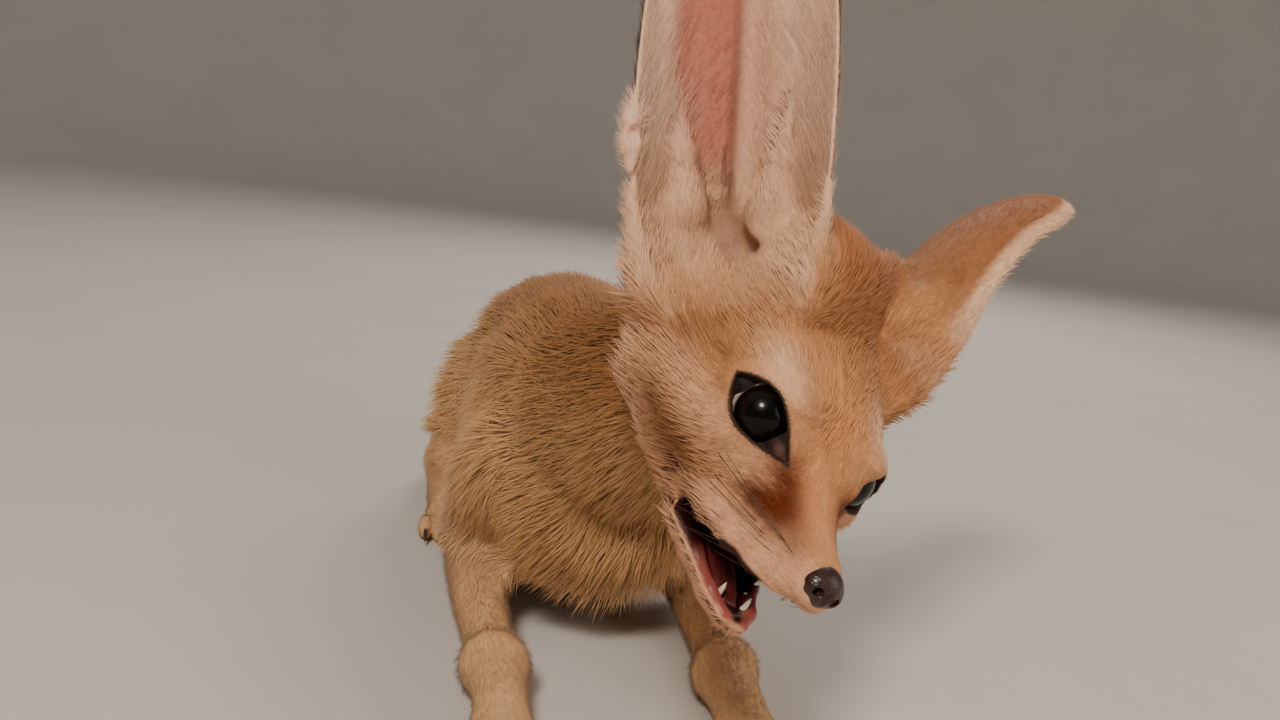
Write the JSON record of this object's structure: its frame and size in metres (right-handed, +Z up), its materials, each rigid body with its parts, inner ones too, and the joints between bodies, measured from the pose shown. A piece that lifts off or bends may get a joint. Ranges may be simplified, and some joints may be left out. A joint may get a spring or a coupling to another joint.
{
  "type": "fennec fox model",
  "caption": "Life-size still model of a fennec fox lying on its belly, head reached forward, lowered and tilted, mouth slightly open, tail curled round one side.",
  "frame": {"origin": "middle of the footprint, on the floor", "axes": "+Z up, the trunk lies along Y with the head towards -Y, the fox's left side is +X"},
  "size_m": [0.1756, 0.3836, 0.2199],
  "materials": {
    "fur": "soft fur",
    "eye": "wet gloss",
    "nose": "moist leathery",
    "mouth": "moist",
    "horn": "satin"
  },
  "bodies": {
    "root": {"head": "fur", "jaw": "fur", "neck": "fur", "trunk": "fur", "ear_right": "fur", "ear_left": "fur", "tail_base": "fur", "tail_middle": "fur", "tail_tip": "fur", "upper_foreleg_right": "fur", "upper_foreleg_left": "fur", "forearm_right": "fur", "forearm_left": "fur", "forepaw_right": "fur", "forepaw_left": "fur", "thigh_right": "fur", "thigh_left": "fur", "shank_right": "fur", "shank_left": "fur", "hind_foot_right": "fur", "hind_foot_left": "fur", "eye_right": "eye", "eye_left": "eye", "nose": "nose", "tongue": "mouth"}
  },
  "joints": []
}
